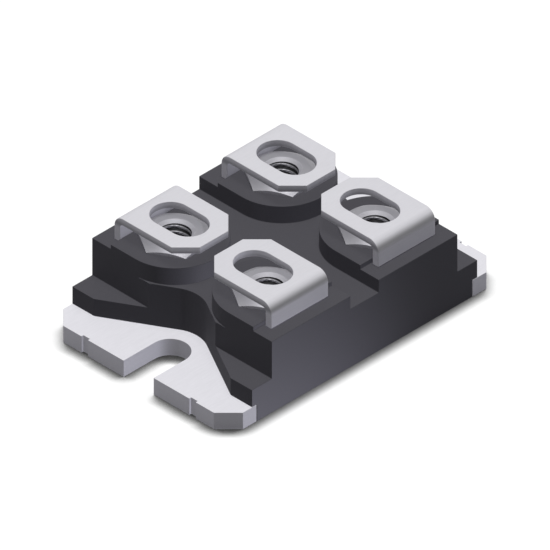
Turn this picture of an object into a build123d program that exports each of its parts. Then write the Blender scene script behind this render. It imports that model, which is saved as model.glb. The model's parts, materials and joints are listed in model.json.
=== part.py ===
from build123d import *
import math
import os

# A four-terminal power module with a transistor chip and a diode chip inside. Millimetres.
# Origin: the middle of the base plate's underside. X runs along the plate, Z points up.
# The near end is at -X and has the open screw slot, the far end is at +X and has the round hole.

# Base plate
PLATE_LENGTH = 38.2
PLATE_WIDTH = 25.2
PLATE_THICKNESS = 2.0
CORNER_CUT = 2.05
EDGE_NOTCH_DEPTH = 0.28
EDGE_NOTCH_WIDTH = 0.9
EDGE_NOTCH_PLACE = 7.55
SCREW_HOLE_DIAMETER = 4.2
SCREW_HOLE_TO_END = 4.0
SLOT_SETBACK = 0.44

# Housing, outside
FIT_GAP = 0.05
TIER_SETBACK = 3.3
TIER_STEP = 2.775
POST_WIDTH = 11.05
TIER_HEIGHT = 2.1
SKIRT_INSET = 0.7
SKIRT_WALL = 0.8
LEDGE_WIDTH = 2.6
LEDGE_STEP = 0.5
END_NOTCH_SETBACK = 0.25
END_NOTCH_RADIUS = 3.9
END_NOTCH_SIDE_ANGLE = 60.5

# Housing, inside
CAVITY_HEIGHT = 3.6
CAVITY_CORNER_RADIUS = 0.8
END_WALL = 1.05
SIDE_WALL = 1.5
NOTCH_WALL = 1.2
CHANNEL_WALL = 1.45
POCKET_FLOOR_WALL = 1.15
GROOVE_INSET = 0.15
GROOVE_WIDTH = 0.35
GROOVE_DEPTH = 0.3

# Hexagon nuts and their pockets
NUT_ACROSS_FLATS = 7.0
NUT_THICKNESS = 3.2
NUT_BORE_DIAMETER = 3.3
NUT_BORE_CHAMFER = 0.15
NUT_CHAMFER_ANGLE = 30.0
NUT_TOP_FACE_DIAMETER = 5.14
NUT_UNDERSIDE_FACE_DIAMETER = 6.6
NUT_TO_LEG_GAP = 0.2
POCKET_DEPTH = 2.35
WELL_DIAMETER = 4.5
WELL_DEPTH = 1.25
WELL_WALL = 0.7

# Terminals
TERMINAL_THICKNESS = 0.8
TERMINAL_WIDTH = 8.0
TERMINAL_ABOVE_POST = 1.6
TERMINAL_TIP = 1.0
LEG_SETBACK = 1.6
TERMINAL_CORNER_CUT = 2.0
TERMINAL_BEND_INSIDE = 0.45
TERMINAL_SLOT_WIDTH = 4.2
SLOT_TO_TIP = 1.5
SLOT_TO_LEG = 1.0
FOOT_WIDTH = 2.6
FOOT_LENGTH = 2.7
NECK_ABOVE_ROOF = 0.4
FOOT_SOLDER_THICKNESS = 0.1

# Ceramic substrate with copper on both sides
SUBSTRATE_TO_WALL = 0.5
SUBSTRATE_SOLDER_THICKNESS = 0.15
COPPER_THICKNESS = 0.3
CERAMIC_THICKNESS = 0.635
COPPER_MARGIN_X = 0.2
COPPER_MARGIN_Y = 0.4
FOOT_TO_PAD_EDGE = 0.1
PAD_GAP = 0.6
WIRE_TO_PAD_END = 0.35
WIRE_TO_PAD_SIDE = 0.6

# Chips
CHIP_SOLDER_THICKNESS = 0.1
CHIP_GAP = 0.8
IGBT_DIE_LENGTH = 7.0
IGBT_DIE_WIDTH = 7.0
IGBT_DIE_THICKNESS = 0.25
DIODE_DIE_LENGTH = 5.0
DIODE_DIE_WIDTH = 5.5
DIODE_DIE_THICKNESS = 0.35

# Bond wires
POWER_WIRE_DIAMETER = 0.38
SIGNAL_WIRE_DIAMETER = 0.25
WIRE_FOOT_LENGTH = 0.7
WIRE_FLATTENING = 0.25
WIRE_TO_CUP_GAP = 0.25
WIRE_TO_FOOT_GAP = 0.25
WIRE_RISE_LENGTH = 0.9
WIRE_SETBACK = 0.8
WIRE_SIDES = 8
EMITTER_WIRE_COUNT = 6
EMITTER_WIRE_PITCH = 1.1
DIODE_WIRE_COUNT = 3
DIODE_WIRE_PITCH = 0.8
DIODE_WIRE_SHIFT = -1.3
GATE_WIRE_SHIFT = -2.4
AUXILIARY_WIRE_SHIFT = 2.2

# Silicone fill, and how far a cutting shape reaches past the face that it cuts
GEL_TO_ROOF = 0.4
OVERCUT = 1.0

# Heights that follow, from the plate up to the terminals
SOLDER_TOP = PLATE_THICKNESS + SUBSTRATE_SOLDER_THICKNESS
LOWER_COPPER_TOP = SOLDER_TOP + COPPER_THICKNESS
CERAMIC_TOP = LOWER_COPPER_TOP + CERAMIC_THICKNESS
PAD_TOP = CERAMIC_TOP + COPPER_THICKNESS
CHIP_SOLDER_TOP = PAD_TOP + CHIP_SOLDER_THICKNESS
IGBT_TOP = CHIP_SOLDER_TOP + IGBT_DIE_THICKNESS
DIODE_TOP = CHIP_SOLDER_TOP + DIODE_DIE_THICKNESS
FOOT_UNDERSIDE = PAD_TOP + FOOT_SOLDER_THICKNESS
TIER_TOP = PLATE_THICKNESS + TIER_HEIGHT
CAVITY_ROOF = PLATE_THICKNESS + CAVITY_HEIGHT
GEL_TOP = CAVITY_ROOF - GEL_TO_ROOF
CHANNEL_FLOOR = CAVITY_ROOF + CHANNEL_WALL
POCKET_FLOOR = CAVITY_ROOF + POCKET_FLOOR_WALL
WELL_FLOOR = POCKET_FLOOR - WELL_DEPTH
CUP_BOTTOM = WELL_FLOOR - WELL_WALL
POST_TOP = POCKET_FLOOR + POCKET_DEPTH
LEDGE_TOP = POST_TOP - LEDGE_STEP
NUT_TOP = POCKET_FLOOR + NUT_THICKNESS
NECK_HEIGHT = CAVITY_ROOF + NECK_ABOVE_ROOF
TERMINAL_UNDERSIDE = POST_TOP + TERMINAL_ABOVE_POST
TERMINAL_TOP = TERMINAL_UNDERSIDE + TERMINAL_THICKNESS

# Places along X that follow
SCREW_HOLE_PLACE = PLATE_LENGTH / 2 - SCREW_HOLE_TO_END
SLOT_PLACE = SCREW_HOLE_PLACE - SLOT_SETBACK
END_NOTCH_PLACE = SCREW_HOLE_PLACE - END_NOTCH_SETBACK
TIER_LENGTH = PLATE_LENGTH - 2 * TIER_SETBACK
BLOCK_LENGTH = TIER_LENGTH - 2 * TIER_STEP
TERMINAL_PITCH = BLOCK_LENGTH - POST_WIDTH
SKIRT_LENGTH = TIER_LENGTH - 2 * SKIRT_INSET
CAVITY_LENGTH = BLOCK_LENGTH - 2 * END_WALL
COPPER_HALF_LENGTH = TERMINAL_PITCH / 2 + FOOT_WIDTH / 2 + FOOT_TO_PAD_EDGE
SUBSTRATE_HALF_LENGTH = COPPER_HALF_LENGTH + COPPER_MARGIN_X
CHIP_ROW_END = (IGBT_DIE_LENGTH + CHIP_GAP + DIODE_DIE_LENGTH) / 2
IGBT_DIE_PLACE = -CHIP_ROW_END + IGBT_DIE_LENGTH / 2
DIODE_DIE_PLACE = CHIP_ROW_END - DIODE_DIE_LENGTH / 2
DIODE_WIRE_PLACE = DIODE_DIE_PLACE + DIODE_WIRE_SHIFT
DIODE_WIRE_ROW_END = DIODE_WIRE_PLACE + DIODE_WIRE_PITCH * (DIODE_WIRE_COUNT - 1) / 2
GATE_WIRE_PLACE = IGBT_DIE_PLACE + GATE_WIRE_SHIFT
AUXILIARY_WIRE_PLACE = IGBT_DIE_PLACE + AUXILIARY_WIRE_SHIFT
EMITTER_PAD_END = DIODE_WIRE_ROW_END + WIRE_TO_PAD_SIDE
GATE_PAD_END = GATE_WIRE_PLACE + WIRE_TO_PAD_SIDE

# Places along Y that follow
CAVITY_WIDTH = PLATE_WIDTH - 2 * SIDE_WALL
POST_REACH = PLATE_WIDTH / 2 - LEDGE_WIDTH
LEG_FACE = PLATE_WIDTH / 2 - LEG_SETBACK
LEG_INNER_FACE = LEG_FACE - TERMINAL_THICKNESS
NUT_EDGE = LEG_INNER_FACE - NUT_TO_LEG_GAP
NUT_PLACE_Y = NUT_EDGE - NUT_ACROSS_FLATS / 2
FOOT_TIP = LEG_FACE - FOOT_LENGTH
SUBSTRATE_HALF_WIDTH = CAVITY_WIDTH / 2 - SUBSTRATE_TO_WALL
COPPER_HALF_WIDTH = SUBSTRATE_HALF_WIDTH - COPPER_MARGIN_Y
WIRE_END = FOOT_TIP - WIRE_TO_FOOT_GAP
OUTER_PAD_EDGE = WIRE_END - WIRE_FOOT_LENGTH - WIRE_TO_PAD_END

# Each terminal's quadrant, as the signs of X and Y
TERMINALS = {
    "emitter": (-1, -1),
    "gate": (-1, 1),
    "collector": (1, -1),
    "auxiliary_emitter": (1, 1),
}


def slab(plan, low, high):
    """A plan carried straight up from one height to another."""
    return Pos(0, 0, low) * extrude(plan, high - low)


def rectangle(x_low, x_high, y_low, y_high):
    """A rectangle given by its four sides."""
    centre = Pos((x_low + x_high) / 2, (y_low + y_high) / 2)
    return centre * Rectangle(x_high - x_low, y_high - y_low)


def on_both_ends(plan):
    """A plan and its mirror image at the other end of the module."""
    return plan + mirror(plan, about=Plane.YZ)


def in_quadrant(shape, sign_x, sign_y):
    """Turns or mirrors a shape made at +X +Y into another quadrant."""
    if sign_x < 0 and sign_y < 0:
        return Rot(0, 0, 180) * shape
    if sign_x < 0:
        return mirror(shape, about=Plane.YZ)
    if sign_y < 0:
        return mirror(shape, about=Plane.XZ)
    return shape


def in_every_quadrant(shape):
    """Four copies of a shape made at +X +Y."""
    return [in_quadrant(shape, *signs) for signs in TERMINALS.values()]


def at_nut(shape):
    """A shape made about the Z axis, moved to the nut's place at +X +Y."""
    return Pos(TERMINAL_PITCH / 2, NUT_PLACE_Y) * shape


def end_notch(wall=0.0):
    """The V-shaped notch at the far end: two straight sides tangent to an arc, moved outward by a wall."""
    radius = END_NOTCH_RADIUS + wall
    angle = math.radians(END_NOTCH_SIDE_ANGLE)
    normal = Vector(-math.sin(angle), math.cos(angle))
    along = Vector(math.cos(angle), math.sin(angle))
    centre = Vector(END_NOTCH_PLACE, 0)
    touch = centre + normal * radius
    mouth = touch + along * PLATE_WIDTH
    apex = centre - Vector(radius, 0)
    arc = ThreePointArc((touch.X, -touch.Y), (apex.X, 0), (touch.X, touch.Y))
    sides = Polyline((touch.X, touch.Y), (mouth.X, mouth.Y), (mouth.X, -mouth.Y), (touch.X, -touch.Y))
    return make_face([arc, *sides.edges()])


def notched(length, width):
    """A rectangle with the V-shaped notch cut in both ends."""
    return Rectangle(length, width) - on_both_ends(end_notch())


def cavity_plan(grow=0.0):
    """The hollow under the housing, inside its walls, made larger all round by a given amount."""
    radius = CAVITY_CORNER_RADIUS + grow
    outline = RectangleRounded(CAVITY_LENGTH + 2 * grow, CAVITY_WIDTH + 2 * grow, radius)
    return outline - on_both_ends(end_notch(NOTCH_WALL - grow))


def skirt_strips(length, inner_edge):
    """The plan of the strips along both long edges that the housing's skirt fills."""
    strip = rectangle(-length / 2, length / 2, inner_edge, PLATE_WIDTH / 2)
    return strip + mirror(strip, about=Plane.XZ)


def base_plate():
    """The copper plate: a round screw hole at the far end and an open slot at the near end."""
    outline = Rectangle(PLATE_LENGTH, PLATE_WIDTH)
    outline = chamfer(outline.vertices(), CORNER_CUT)
    edge = PLATE_WIDTH / 2 - SKIRT_WALL - FIT_GAP
    outline -= skirt_strips(SKIRT_LENGTH + 2 * FIT_GAP, edge)
    nick = Rectangle(2 * EDGE_NOTCH_DEPTH, EDGE_NOTCH_WIDTH)
    for sign_x in (-1, 1):
        for sign_y in (-1, 1):
            outline -= Pos(sign_x * PLATE_LENGTH / 2, sign_y * EDGE_NOTCH_PLACE) * nick
    radius = SCREW_HOLE_DIAMETER / 2
    outline -= Pos(SCREW_HOLE_PLACE, 0) * Circle(radius)
    outline -= Pos(-SLOT_PLACE, 0) * Circle(radius)
    outline -= rectangle(-PLATE_LENGTH, -SLOT_PLACE, -radius, radius)
    return slab(outline, 0, PLATE_THICKNESS)


def post():
    """One terminal post of the housing at +X +Y: round towards the middle, with a lower outer ledge."""
    inner = (TERMINAL_PITCH - POST_WIDTH) / 2
    outer = (TERMINAL_PITCH + POST_WIDTH) / 2
    head = at_nut(Circle(POST_WIDTH / 2)) + rectangle(inner, outer, NUT_PLACE_Y, POST_REACH)
    head = head & rectangle(inner, outer, -PLATE_WIDTH, POST_REACH)
    ledge = rectangle(inner, outer, POST_REACH, PLATE_WIDTH / 2)
    return slab(head, TIER_TOP, POST_TOP) + slab(ledge, TIER_TOP, LEDGE_TOP)


def nut_pocket():
    """The hexagon pocket at +X +Y, with the round well under it for the screw's tip."""
    hexagon = RegularPolygon(NUT_ACROSS_FLATS / 2 + FIT_GAP, 6, major_radius=False, rotation=0)
    pocket = slab(hexagon, POCKET_FLOOR, POST_TOP + OVERCUT)
    well = slab(Circle(WELL_DIAMETER / 2), WELL_FLOOR, POCKET_FLOOR)
    return at_nut(pocket + well)


def well_cup():
    """The cup at +X +Y that hangs from the cavity's roof and closes the well."""
    return at_nut(slab(Circle(WELL_DIAMETER / 2 + WELL_WALL), CUP_BOTTOM, CAVITY_ROOF))


def leg_slot():
    """The slot at +X +Y through which the terminal's leg comes out, open to the nut's pocket."""
    middle = TERMINAL_PITCH / 2
    half = TERMINAL_WIDTH / 2 + FIT_GAP
    plan = rectangle(middle - half, middle + half, NUT_EDGE + FIT_GAP, LEG_FACE + FIT_GAP)
    return slab(plan, CAVITY_ROOF - OVERCUT, POST_TOP + OVERCUT)


def adhesive_ring():
    """The plan of the glue line under the housing's wall, all round the hollow."""
    return cavity_plan(GROOVE_INSET + GROOVE_WIDTH) - cavity_plan(GROOVE_INSET)


def housing():
    """The black moulding: skirt, tier, block and four posts, hollow underneath."""
    body = slab(notched(TIER_LENGTH, PLATE_WIDTH), PLATE_THICKNESS, TIER_TOP)
    body += slab(notched(BLOCK_LENGTH, PLATE_WIDTH), TIER_TOP, CHANNEL_FLOOR)
    body += slab(skirt_strips(SKIRT_LENGTH, PLATE_WIDTH / 2 - SKIRT_WALL), 0, PLATE_THICKNESS)
    body += in_every_quadrant(post())
    body -= slab(cavity_plan(), PLATE_THICKNESS, CAVITY_ROOF)
    body += in_every_quadrant(well_cup())
    body -= in_every_quadrant(nut_pocket() + leg_slot())
    body -= housing_adhesive()
    return body


def housing_adhesive():
    """The bead of glue that fills the groove under the housing's wall."""
    return slab(adhesive_ring(), PLATE_THICKNESS, PLATE_THICKNESS + GROOVE_DEPTH)


def nut():
    """One hexagon nut at +X +Y, chamfered to a cone on both sides, with a plain bore for the thread."""
    hexagon = RegularPolygon(NUT_ACROSS_FLATS / 2, 6, major_radius=False, rotation=0)
    body = slab(hexagon, POCKET_FLOOR, NUT_TOP)
    outer = NUT_ACROSS_FLATS
    slope = math.tan(math.radians(NUT_CHAMFER_ANGLE))
    top = NUT_TOP_FACE_DIAMETER / 2
    underside = NUT_UNDERSIDE_FACE_DIAMETER / 2
    outline = Polyline(
        (0, POCKET_FLOOR),
        (underside, POCKET_FLOOR),
        (outer, POCKET_FLOOR + (outer - underside) * slope),
        (outer, NUT_TOP - (outer - top) * slope),
        (top, NUT_TOP),
        (0, NUT_TOP),
        close=True,
    )
    envelope = revolve(Plane.XZ * make_face(outline), Axis.Z)
    radius = NUT_BORE_DIAMETER / 2
    bore = slab(Circle(radius), POCKET_FLOOR, NUT_TOP)
    sink = Cone(radius, radius + NUT_BORE_CHAMFER, NUT_BORE_CHAMFER)
    bore += Pos(0, 0, NUT_TOP - NUT_BORE_CHAMFER / 2) * sink
    bore += Pos(0, 0, POCKET_FLOOR + NUT_BORE_CHAMFER / 2) * Rot(180, 0, 0) * sink
    return at_nut((body & envelope) - bore)


def terminal_section():
    """The folded strip seen from its edge: top, leg and foot, with the same bend at both corners."""
    instep = FOOT_UNDERSIDE + TERMINAL_THICKNESS
    outer = FilletPolyline(
        (TERMINAL_TIP, TERMINAL_TOP),
        (LEG_FACE, TERMINAL_TOP),
        (LEG_FACE, FOOT_UNDERSIDE),
        (FOOT_TIP, FOOT_UNDERSIDE),
        radius=TERMINAL_BEND_INSIDE + TERMINAL_THICKNESS,
    )
    inner = FilletPolyline(
        (FOOT_TIP, instep),
        (LEG_INNER_FACE, instep),
        (LEG_INNER_FACE, TERMINAL_UNDERSIDE),
        (TERMINAL_TIP, TERMINAL_UNDERSIDE),
        radius=TERMINAL_BEND_INSIDE,
    )
    tip = Line((TERMINAL_TIP, TERMINAL_UNDERSIDE), (TERMINAL_TIP, TERMINAL_TOP))
    toe = Line((FOOT_TIP, FOOT_UNDERSIDE), (FOOT_TIP, instep))
    return Plane.YZ * make_face([*outer.edges(), toe, *inner.edges(), tip])


def terminal():
    """One folded terminal at +X +Y: cut corners and an oblong hole on top, a narrow foot below."""
    half = TERMINAL_WIDTH / 2
    body = extrude(terminal_section(), half, both=True)
    corner_points = [
        (half, TERMINAL_TIP),
        (half, TERMINAL_TIP + TERMINAL_CORNER_CUT),
        (half - TERMINAL_CORNER_CUT, TERMINAL_TIP),
    ]
    corner = slab(make_face(Polyline(*corner_points, close=True)), NECK_HEIGHT, TERMINAL_TOP + OVERCUT)
    beside_foot = slab(rectangle(FOOT_WIDTH / 2, half + OVERCUT, 0, LEG_FACE + OVERCUT), 0, NECK_HEIGHT)
    for side in (corner, beside_foot):
        body -= side
        body -= mirror(side, about=Plane.YZ)
    slot_start = TERMINAL_TIP + SLOT_TO_TIP
    slot_end = LEG_INNER_FACE - SLOT_TO_LEG
    oblong = Rot(0, 0, 90) * SlotOverall(slot_end - slot_start, TERMINAL_SLOT_WIDTH)
    oblong = Pos(0, (slot_start + slot_end) / 2) * oblong
    body -= slab(oblong, NECK_HEIGHT, TERMINAL_TOP + OVERCUT)
    return Pos(TERMINAL_PITCH / 2, 0) * body


def terminal_solder():
    """The solder under the flat of one terminal foot at +X +Y."""
    middle = TERMINAL_PITCH / 2
    half = FOOT_WIDTH / 2
    flat_end = LEG_INNER_FACE - TERMINAL_BEND_INSIDE
    return slab(rectangle(middle - half, middle + half, FOOT_TIP, flat_end), PAD_TOP, FOOT_UNDERSIDE)


def collector_pad_plan():
    """The large pad under both chips, with an arm to the collector terminal's foot."""
    edge = OUTER_PAD_EDGE - PAD_GAP
    main = rectangle(-COPPER_HALF_LENGTH, COPPER_HALF_LENGTH, -edge, edge)
    return main + rectangle(EMITTER_PAD_END + PAD_GAP, COPPER_HALF_LENGTH, -COPPER_HALF_WIDTH, -edge)


def emitter_pad_plan():
    """The pad beside the collector's arm that carries all the power wires' outer feet."""
    return rectangle(-COPPER_HALF_LENGTH, EMITTER_PAD_END, -COPPER_HALF_WIDTH, -OUTER_PAD_EDGE)


def gate_pad_plan():
    """The small pad under the gate terminal's foot and its wire."""
    return rectangle(-COPPER_HALF_LENGTH, GATE_PAD_END, OUTER_PAD_EDGE, COPPER_HALF_WIDTH)


def auxiliary_emitter_pad_plan():
    """The pad under the auxiliary emitter terminal's foot, as long as the gate pad leaves room for."""
    return rectangle(GATE_PAD_END + PAD_GAP, COPPER_HALF_LENGTH, OUTER_PAD_EDGE, COPPER_HALF_WIDTH)


def bond_wire(place, chip_top, from_y, to_y, diameter):
    """One wire in the YZ plane from a chip to a pad, with a foot at each end that is flat underneath."""
    side = 1 if to_y > from_y else -1
    lift = diameter / 2 - WIRE_FLATTENING * diameter
    top = CUP_BOTTOM - WIRE_TO_CUP_GAP - diameter / 2
    foot = side * WIRE_FOOT_LENGTH
    rise = side * WIRE_RISE_LENGTH
    path = Polyline(
        (place, from_y, chip_top + lift),
        (place, from_y + foot, chip_top + lift),
        (place, from_y + foot + rise, top),
        (place, to_y - foot - rise, top),
        (place, to_y - foot, PAD_TOP + lift),
        (place, to_y, PAD_TOP + lift),
    )
    section = (path ^ 0) * RegularPolygon(diameter / 2, WIRE_SIDES)
    wire = sweep(section, path=path, transition=Transition.RIGHT)
    reach = 2 * (WIRE_FOOT_LENGTH + WIRE_RISE_LENGTH)
    for end, surface in ((from_y, chip_top), (to_y, PAD_TOP)):
        wire -= Pos(place, end, surface - diameter / 2) * Box(2 * diameter, reach, diameter)
    return wire


def wire_row(count, pitch, middle, chip_top, chip_width):
    """Parallel power wires from a chip's top to the emitter pad."""
    from_y = -chip_width / 2 + WIRE_SETBACK + WIRE_FOOT_LENGTH
    places = [middle + (index - (count - 1) / 2) * pitch for index in range(count)]
    wires = [bond_wire(place, chip_top, from_y, -WIRE_END, POWER_WIRE_DIAMETER) for place in places]
    return Compound(wires)


def signal_wire(place):
    """A thin wire from the transistor chip's upper edge to a pad on the +Y side."""
    from_y = IGBT_DIE_WIDTH / 2 - WIRE_SETBACK - WIRE_FOOT_LENGTH
    return bond_wire(place, IGBT_TOP, from_y, WIRE_END, SIGNAL_WIRE_DIAMETER)


def substrate_pieces():
    """The ceramic plate with its solder, its lower copper and the four pads on top."""
    ceramic = Rectangle(2 * SUBSTRATE_HALF_LENGTH, 2 * SUBSTRATE_HALF_WIDTH)
    copper = Rectangle(2 * COPPER_HALF_LENGTH, 2 * COPPER_HALF_WIDTH)
    return {
        "substrate_solder": slab(copper, PLATE_THICKNESS, SOLDER_TOP),
        "substrate_lower_copper": slab(copper, SOLDER_TOP, LOWER_COPPER_TOP),
        "substrate_ceramic": slab(ceramic, LOWER_COPPER_TOP, CERAMIC_TOP),
        "collector_pad": slab(collector_pad_plan(), CERAMIC_TOP, PAD_TOP),
        "emitter_pad": slab(emitter_pad_plan(), CERAMIC_TOP, PAD_TOP),
        "gate_pad": slab(gate_pad_plan(), CERAMIC_TOP, PAD_TOP),
        "auxiliary_emitter_pad": slab(auxiliary_emitter_pad_plan(), CERAMIC_TOP, PAD_TOP),
    }


def chip_pieces():
    """The two chips, the solder under them and all the bond wires."""
    igbt = Pos(IGBT_DIE_PLACE, 0) * Rectangle(IGBT_DIE_LENGTH, IGBT_DIE_WIDTH)
    diode = Pos(DIODE_DIE_PLACE, 0) * Rectangle(DIODE_DIE_LENGTH, DIODE_DIE_WIDTH)
    return {
        "igbt_die_solder": slab(igbt, PAD_TOP, CHIP_SOLDER_TOP),
        "igbt_die": slab(igbt, CHIP_SOLDER_TOP, IGBT_TOP),
        "diode_die_solder": slab(diode, PAD_TOP, CHIP_SOLDER_TOP),
        "diode_die": slab(diode, CHIP_SOLDER_TOP, DIODE_TOP),
        "emitter_bond_wires": wire_row(
            EMITTER_WIRE_COUNT, EMITTER_WIRE_PITCH, IGBT_DIE_PLACE, IGBT_TOP, IGBT_DIE_WIDTH
        ),
        "diode_bond_wires": wire_row(
            DIODE_WIRE_COUNT, DIODE_WIRE_PITCH, DIODE_WIRE_PLACE, DIODE_TOP, DIODE_DIE_WIDTH
        ),
        "gate_bond_wire": signal_wire(GATE_WIRE_PLACE),
        "auxiliary_emitter_bond_wire": signal_wire(AUXILIARY_WIRE_PLACE),
    }


def terminal_pieces():
    """The four terminals, their nuts and the solder under their feet."""
    pieces = {"terminal_solder": Compound(in_every_quadrant(terminal_solder()))}
    for name, signs in TERMINALS.items():
        pieces[name + "_terminal"] = in_quadrant(terminal(), *signs)
        pieces[name + "_nut"] = in_quadrant(nut(), *signs)
    return pieces


def silicone_gel(inside):
    """The fill in the hollow, round everything that stands in it and under the wells."""
    fill = slab(cavity_plan(), PLATE_THICKNESS, GEL_TOP)
    return fill - inside - in_every_quadrant(well_cup())


def build_pieces():
    """Every separate piece of the module by its name."""
    inside = {**substrate_pieces(), **chip_pieces(), **terminal_pieces()}
    return {
        "base_plate": base_plate(),
        **inside,
        "silicone_gel": silicone_gel(list(inside.values())),
        "housing_adhesive": housing_adhesive(),
        "housing": housing(),
    }


os.makedirs("parts", exist_ok=True)
for name, shape in build_pieces().items():
    export_step(shape, f"parts/{name}.step")
    print(name, len(shape.solids()), round(shape.volume, 3))
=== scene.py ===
# %% [markdown]
# # A flat power module with four screw terminals
#
# The object is a small electronic module, 38 mm long. A black moulded housing stands on a bare metal plate.
# Four folded metal terminals stand on its posts, and under each one a loose hexagon nut lies in a pocket.
#
# The solid model of every piece is already packed. This lesson loads it as a fixed frame, gives each piece a
# finish, and makes new meshes for the pieces whose real shape is finer than the solids: the terminals with
# their rounded edges, the nuts with real threads, and the plate and housing with softened edges. All sizes
# are in millimetres, and MM turns them into Blender's metres.

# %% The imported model
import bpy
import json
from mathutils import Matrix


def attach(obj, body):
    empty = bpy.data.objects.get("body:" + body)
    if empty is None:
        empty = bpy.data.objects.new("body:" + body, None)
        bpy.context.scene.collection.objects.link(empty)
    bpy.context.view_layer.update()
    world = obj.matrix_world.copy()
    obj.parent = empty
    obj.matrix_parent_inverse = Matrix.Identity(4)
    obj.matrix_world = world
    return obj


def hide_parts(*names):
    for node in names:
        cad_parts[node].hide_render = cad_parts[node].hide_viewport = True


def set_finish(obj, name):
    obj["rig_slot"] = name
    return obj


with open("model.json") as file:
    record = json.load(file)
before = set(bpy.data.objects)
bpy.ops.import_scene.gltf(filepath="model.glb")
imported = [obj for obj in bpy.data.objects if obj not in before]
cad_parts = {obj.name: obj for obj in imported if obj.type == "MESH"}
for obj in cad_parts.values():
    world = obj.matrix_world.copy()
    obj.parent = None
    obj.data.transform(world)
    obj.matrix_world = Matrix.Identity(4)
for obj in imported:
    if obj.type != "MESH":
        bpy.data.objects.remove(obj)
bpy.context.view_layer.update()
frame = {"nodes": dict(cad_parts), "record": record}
nodes = frame["nodes"]
print("pieces in the packed model:", len(nodes))

# %% Tools
import json
import math

import bmesh
import bpy
import numpy as np
from mathutils import Vector

MM = 0.001
scene = bpy.context.scene
scene.view_settings.view_transform = "Standard"
print("view transform:", scene.view_settings.view_transform)

# %% [markdown]
# ## The camera
#
# The picture is an exact isometric view, without perspective: all three axes are shortened by the same
# amount. An orthographic camera does that when it looks along a cube's diagonal, 35.26 degrees down and
# 45 degrees to the side. Its scale is the width of the picture in metres. Cameras and lamps both look along
# their own -Z axis, so one helper aims them all.


# %% Aiming
def direction(azimuth, elevation):
    """A unit vector from the object towards a viewer; azimuth 0 is the -Y side and grows towards +X.

    Its level part is the cosine of the elevation, shared by the sine of the azimuth along X and its cosine
    along -Y. Its height is the sine of the elevation.
    """
    flat = math.cos(elevation)
    return Vector((flat * math.sin(azimuth), -flat * math.cos(azimuth), math.sin(elevation)))


def aimed(thing, target, back, distance):
    """Puts a camera or lamp at a distance behind a target, in millimetres, and turns it to look there."""
    thing.location = (Vector(target) + back * distance) * MM
    thing.rotation_euler = (-back).to_track_quat("-Z", "Y").to_euler()


print("a viewer in front stands at:", tuple(direction(0.0, 0.0)))

# %% Camera
PICTURE_WIDTH = 54.51
LOOKS_AT = (0.014, -0.014, 3.884)
CAMERA_DISTANCE = 400.0
AZIMUTH = math.radians(-45.0)
ELEVATION = math.asin(1 / math.sqrt(3))

camera_data = bpy.data.cameras.new("camera")
camera_data.type = "ORTHO"
camera_data.ortho_scale = PICTURE_WIDTH * MM
camera = bpy.data.objects.new("camera", camera_data)
scene.collection.objects.link(camera)
aimed(camera, LOOKS_AT, direction(AZIMUTH, ELEVATION), CAMERA_DISTANCE)
scene.camera = camera
print("camera looks down by", round(math.degrees(ELEVATION), 2), "degrees")

# %% [markdown]
# ## Surfaces from formulas
#
# A surface can be written as a function of two parameters and worked out on a whole grid at once. Rows run
# along one parameter and columns along the other. Neighbouring points make the quads. Several such grids
# whose borders share points are sewn into one closed skin by merging the points that coincide. Modelling by
# hand would also work, but a formula keeps every size exact and can be changed in one place.
#
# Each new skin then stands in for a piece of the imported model, on the module's one body.


# %% Quads of a grid
def grid_quads(rows, columns, wraps):
    """Corner numbers of the quads of a grid; with wraps, the last column is joined to the first.

    The point in a row and a column has the number row times columns plus column.
    """
    last = columns if wraps else columns - 1
    row, column = np.meshgrid(np.arange(rows - 1), np.arange(last), indexing="ij")
    here = row * columns + column
    beside = row * columns + (column + 1) % columns
    return np.stack([here, beside, beside + columns, here + columns], axis=-1).reshape(-1, 4)


print("quads between 3 rows of 4 points:", len(grid_quads(3, 4, False)))

# %% Sewing
MERGE_DISTANCE = 0.0005
SHARP_ANGLE = math.radians(20.0)


def sew(mesh):
    """Merges coinciding points, drops quads that have shrunk to a line and turns all faces outwards."""
    work = bmesh.new()
    work.from_mesh(mesh)
    bmesh.ops.remove_doubles(work, verts=work.verts, dist=MERGE_DISTANCE * MM)
    bmesh.ops.dissolve_degenerate(work, edges=work.edges, dist=MERGE_DISTANCE * MM)
    bmesh.ops.recalc_face_normals(work, faces=work.faces)
    work.to_mesh(mesh)
    work.free()
    mesh.shade_smooth()
    mesh.set_sharp_from_angle(angle=SHARP_ANGLE)


def sewn_mesh(name, patches):
    """One closed mesh from patches.

    Each patch is an array of points (rows, columns, 3) in millimetres, and whether its columns wrap round.
    """
    points = []
    quads = []
    start = 0
    for patch, wraps in patches:
        rows, columns, _ = patch.shape
        points.append(patch.reshape(-1, 3))
        quads.append(grid_quads(rows, columns, wraps) + start)
        start += rows * columns
    mesh = bpy.data.meshes.new(name)
    mesh.from_pydata((np.concatenate(points) * MM).tolist(), [], np.concatenate(quads).tolist())
    sew(mesh)
    return mesh


print("points closer than", MERGE_DISTANCE, "mm are merged")


# %% Counting and standing in
def open_edges(mesh):
    """How many edges don't have exactly two faces; a closed skin has none."""
    work = bmesh.new()
    work.from_mesh(mesh)
    count = sum(not edge.is_manifold for edge in work.edges)
    work.free()
    return count


def stand_in(node, mesh, slot):
    """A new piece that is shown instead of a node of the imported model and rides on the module's one body."""
    piece = bpy.data.objects.new(node + "_detailed", mesh)
    scene.collection.objects.link(piece)
    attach(piece, "root")
    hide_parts(node)
    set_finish(piece, slot)
    return piece


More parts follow.
